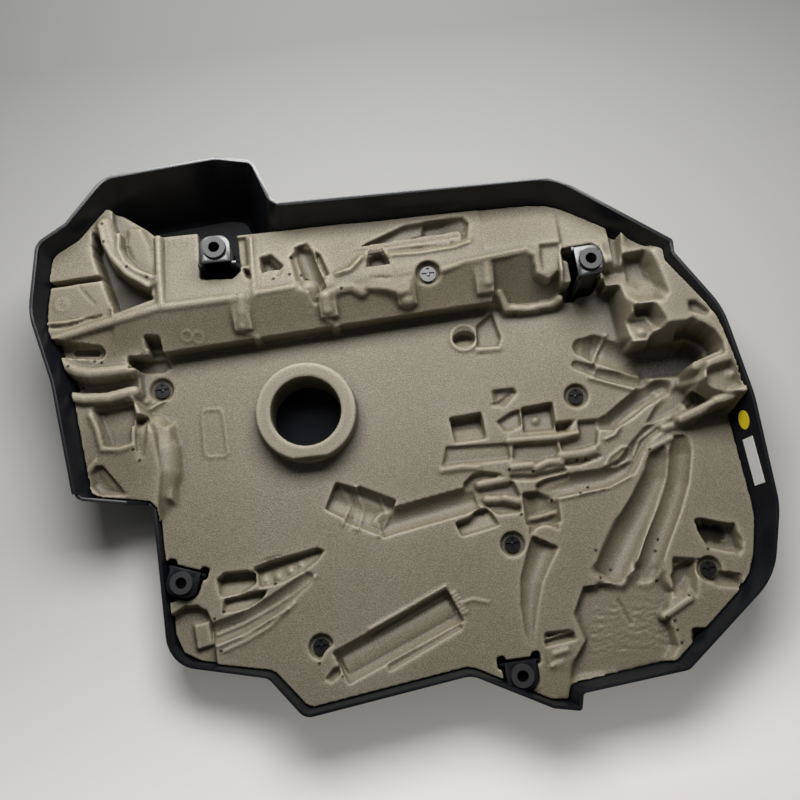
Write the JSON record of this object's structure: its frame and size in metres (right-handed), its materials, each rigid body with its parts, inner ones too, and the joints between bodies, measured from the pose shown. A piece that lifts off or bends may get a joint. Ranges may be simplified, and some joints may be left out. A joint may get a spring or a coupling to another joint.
{
  "type": "engine cover",
  "caption": "Moulded plastic engine cover with a drafted skirt, lined with relief-moulded foam that has a round filler collar, hose channels and rubber mounting grommets.",
  "frame": {"origin": "under the middle of the cover, on its outer face", "axes": "+X along the raised band, towards the label's side; +Y towards the band; +Z out of the lined side"},
  "size_m": [0.6277, 0.5132, 0.0914],
  "materials": {
    "shell_plastic": "satin, fine grain",
    "liner_foam": "moulded foam skin, fine speckle",
    "grommet_rubber": "matte",
    "clip_plastic": "satin",
    "label_white": "matte film",
    "sticker_yellow": "matte film"
  },
  "bodies": {
    "root": {"cover_shell": "shell_plastic", "foam_liner": "liner_foam", "grommet_back_left": "grommet_rubber", "grommet_back_right": "grommet_rubber", "grommet_front_left": "grommet_rubber", "grommet_front_right": "grommet_rubber", "clip_back": "clip_plastic", "clip_left": "clip_plastic", "clip_right": "clip_plastic", "clip_centre": "clip_plastic", "clip_front_right": "clip_plastic", "clip_front": "clip_plastic", "part_label": "label_white", "dot_sticker": "sticker_yellow"}
  },
  "joints": []
}
